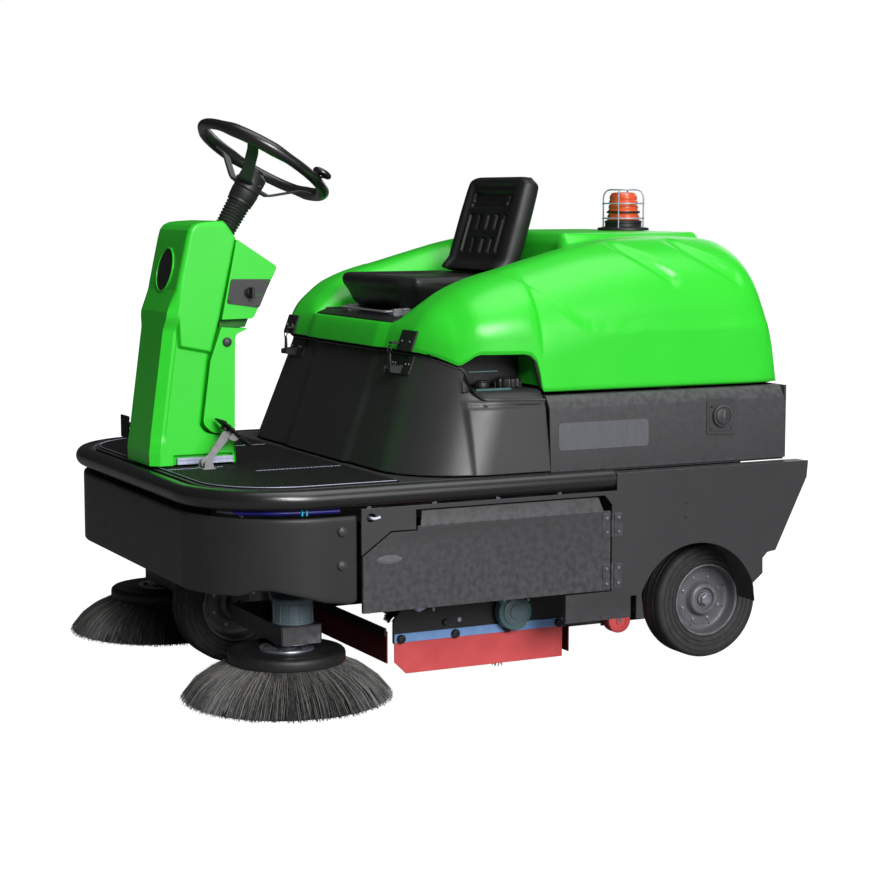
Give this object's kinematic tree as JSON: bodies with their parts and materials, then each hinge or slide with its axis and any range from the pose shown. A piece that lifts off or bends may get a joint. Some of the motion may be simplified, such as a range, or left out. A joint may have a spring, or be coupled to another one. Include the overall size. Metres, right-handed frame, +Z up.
{
  "type": "ride-on floor sweeper",
  "caption": "Battery ride-on sweeper with seat, steered front wheel, side and main brushes, hinged hood, side doors and a dirt drawer at the back.",
  "frame": {"origin": "on the floor, under the middle of the machine's box over its side brushes", "axes": "+Z up, the machine drives towards -Y, and its left side is +X"},
  "size_m": [1.5, 1.7379, 1.4642],
  "materials": {
    "green_plastic": "satin moulded plastic",
    "black_plastic": "satin moulded plastic",
    "grey_plastic": "fine-grained plastic",
    "panel_steel": "satin powder coat",
    "mat_rubber": "matt rubber",
    "tyre_rubber": "solid rubber tyre",
    "rim_paint": "satin grey paint",
    "zinc_steel": "zinc plated",
    "bristle": "nylon bristles",
    "red_rubber": "soft rubber",
    "motor_paint": "satin paint",
    "battery_case": "moulded case",
    "seat_skin": "black vinyl over foam",
    "beacon_lens": "orange-red lens",
    "cage_wire": "light grey coated wire"
  },
  "bodies": {
    "chassis": {"chassis_frame": "panel_steel", "deck_plate": "panel_steel", "deck_mat": "mat_rubber", "bumper_rail": "black_plastic", "front_skirt": "black_plastic", "side_panel_left": "panel_steel", "side_panel_right": "panel_steel", "body_cowl": "black_plastic", "side_cover_left": "grey_plastic", "side_cover_right": "grey_plastic", "rear_wall": "grey_plastic", "steering_column": "green_plastic", "column_console": "green_plastic", "key_panel": "panel_steel", "steering_boot": "mat_rubber", "brush_tunnel": "panel_steel", "side_flap_left": "red_rubber", "side_flap_right": "red_rubber", "front_flap": "red_rubber", "belt_cover": "motor_paint", "brush_motor": "motor_paint", "battery_pack": "battery_case", "filter_box": "grey_plastic", "spray_tank": "black_plastic"},
    "steering_wheel": {"steering_wheel": "black_plastic"},
    "spinner_knob": {"spinner_knob": "black_plastic"},
    "front_fork": {"front_fork": "panel_steel"},
    "front_wheel": {"front_tyre": "tyre_rubber", "front_rim": "rim_paint"},
    "rear_wheel_left": {"rear_left_tyre": "tyre_rubber", "rear_left_rim": "rim_paint"},
    "rear_wheel_right": {"rear_right_tyre": "tyre_rubber", "rear_right_rim": "rim_paint"},
    "brush_arm_left": {"brush_arm_left": "motor_paint"},
    "brush_arm_right": {"brush_arm_right": "motor_paint"},
    "side_brush_left": {"brush_disc_left": "black_plastic", "side_bristles_left": "bristle"},
    "side_brush_right": {"brush_disc_right": "black_plastic", "side_bristles_right": "bristle"},
    "main_brush": {"main_brush": "bristle"},
    "hood": {"hood_shell": "green_plastic", "seat_base": "panel_steel", "beacon_base": "cage_wire", "beacon_lens": "beacon_lens"},
    "seat": {"seat_cushion": "seat_skin", "seat_backrest": "seat_skin"},
    "hood_latch_left": {"hood_latch_left": "zinc_steel"},
    "hood_latch_right": {"hood_latch_right": "zinc_steel"},
    "side_door_left": {"side_door_left": "panel_steel"},
    "side_door_right": {"side_door_right": "panel_steel"},
    "pedal_left": {"pedal_left": "zinc_steel"},
    "pedal_right": {"pedal_right": "zinc_steel"},
    "key": {"key": "zinc_steel"},
    "hopper": {"hopper": "panel_steel"},
    "hopper_roller_left": {"hopper_roller_left": "red_rubber"},
    "hopper_roller_right": {"hopper_roller_right": "red_rubber"},
    "filler_cap": {"filler_cap": "black_plastic"},
    "vent_cap": {"vent_cap": "black_plastic"},
    "cover_latch_left": {"cover_latch_left": "black_plastic"},
    "cover_latch_right": {"cover_latch_right": "black_plastic"}
  },
  "joints": [
    {"name": "front_steer", "type": "hinge", "parent": "chassis", "child": "front_fork", "pos_m": [0, -0.56, 0.4], "axis": [0, 0, 1], "range_deg": [-75, 75]},
    {"name": "steering_turn", "type": "hinge", "parent": "chassis", "child": "steering_wheel", "pos_m": [0, -0.5814, 1.1517], "axis": [0, 0.515, 0.8572], "range_deg": [-450, 450]},
    {"name": "knob_spin", "type": "hinge", "parent": "steering_wheel", "child": "spinner_knob", "pos_m": [0.13865, -0.35827, 1.29716], "axis": [0, 0.515, 0.8572], "continuous": true},
    {"name": "front_wheel_spin", "type": "hinge", "parent": "front_fork", "child": "front_wheel", "pos_m": [0, -0.56, 0.16], "axis": [1, 0, 0], "continuous": true},
    {"name": "rear_wheel_spin_left", "type": "hinge", "parent": "chassis", "child": "rear_wheel_left", "pos_m": [0.5125, 0.615, 0.16], "axis": [1, 0, 0], "continuous": true},
    {"name": "rear_wheel_spin_right", "type": "hinge", "parent": "chassis", "child": "rear_wheel_right", "pos_m": [-0.5125, 0.615, 0.16], "axis": [1, 0, 0], "continuous": true},
    {"name": "brush_lift_left", "type": "hinge", "parent": "chassis", "child": "brush_arm_left", "pos_m": [0.19, -0.596, 0.17], "axis": [0, -1, 0], "range_deg": [0, 8]},
    {"name": "brush_lift_right", "type": "hinge", "parent": "chassis", "child": "brush_arm_right", "pos_m": [-0.19, -0.596, 0.17], "axis": [0, 1, 0], "range_deg": [0, 8]},
    {"name": "side_brush_spin_left", "type": "hinge", "parent": "brush_arm_left", "child": "side_brush_left", "pos_m": [0.477, -0.596, 0.1], "axis": [0, 0, 1], "continuous": true},
    {"name": "side_brush_spin_right", "type": "hinge", "parent": "brush_arm_right", "child": "side_brush_right", "pos_m": [-0.477, -0.596, 0.1], "axis": [0, 0, 1], "continuous": true},
    {"name": "main_brush_spin", "type": "hinge", "parent": "chassis", "child": "main_brush", "pos_m": [0, 0.055, 0.165], "axis": [1, 0, 0], "continuous": true},
    {"name": "hood_open", "type": "hinge", "parent": "chassis", "child": "hood", "pos_m": [0, 0.842, 0.753], "axis": [-1, 0, 0], "range_deg": [0, 60]},
    {"name": "seat_slide", "type": "slide", "parent": "hood", "child": "seat", "axis": [0, -1, 0], "range_m": [0, 0.1]},
    {"name": "hood_latch_turn_left", "type": "hinge", "parent": "chassis", "child": "hood_latch_left", "pos_m": [0.354, -0.252, 0.812], "axis": [1, 0, 0], "range_deg": [0, 110]},
    {"name": "hood_latch_turn_right", "type": "hinge", "parent": "chassis", "child": "hood_latch_right", "pos_m": [-0.354, -0.252, 0.812], "axis": [1, 0, 0], "range_deg": [0, 110]},
    {"name": "side_door_open_left", "type": "hinge", "parent": "chassis", "child": "side_door_left", "pos_m": [0.6725, 0.239, 0.36], "axis": [0, 0, 1], "range_deg": [0, 110]},
    {"name": "side_door_open_right", "type": "hinge", "parent": "chassis", "child": "side_door_right", "pos_m": [-0.6725, 0.239, 0.36], "axis": [0, 0, -1], "range_deg": [0, 110]},
    {"name": "pedal_press_left", "type": "hinge", "parent": "chassis", "child": "pedal_left", "pos_m": [0.165, -0.69, 0.566], "axis": [-1, 0, 0], "range_deg": [0, 12], "stiffness_Nm_per_rad": 6, "springref_deg": -8.59},
    {"name": "pedal_press_right", "type": "hinge", "parent": "chassis", "child": "pedal_right", "pos_m": [-0.165, -0.72, 0.566], "axis": [1, 0, 0], "range_deg": [0, 12], "stiffness_Nm_per_rad": 6, "springref_deg": -8.59},
    {"name": "key_turn", "type": "hinge", "parent": "chassis", "child": "key", "pos_m": [0.132, -0.548, 1.008], "axis": [1, 0, 0], "range_deg": [0, 90]},
    {"name": "hopper_slide", "type": "slide", "parent": "chassis", "child": "hopper", "axis": [0, 1, 0], "range_m": [0, 0.4]},
    {"name": "roller_spin_left", "type": "hinge", "parent": "hopper", "child": "hopper_roller_left", "pos_m": [0.412, 0.413, 0.098], "axis": [1, 0, 0], "continuous": true},
    {"name": "roller_spin_right", "type": "hinge", "parent": "hopper", "child": "hopper_roller_right", "pos_m": [-0.412, 0.413, 0.098], "axis": [1, 0, 0], "continuous": true},
    {"name": "filler_cap_turn", "type": "hinge", "parent": "chassis", "child": "filler_cap", "pos_m": [0.5, 0.02, 0.7645], "axis": [0, 0, 1], "continuous": true},
    {"name": "vent_cap_turn", "type": "hinge", "parent": "chassis", "child": "vent_cap", "pos_m": [0.5, -0.055, 0.7645], "axis": [0, 0, 1], "continuous": true},
    {"name": "cover_latch_turn_left", "type": "hinge", "parent": "chassis", "child": "cover_latch_left", "pos_m": [0.6265, 0.61, 0.674], "axis": [1, 0, 0], "range_deg": [0, 90]},
    {"name": "cover_latch_turn_right", "type": "hinge", "parent": "chassis", "child": "cover_latch_right", "pos_m": [-0.6265, 0.61, 0.674], "axis": [1, 0, 0], "range_deg": [0, 90]}
  ],
  "couplings": [
    {"joint": "steering_turn", "follows": "front_steer", "ratio": 6}
  ]
}
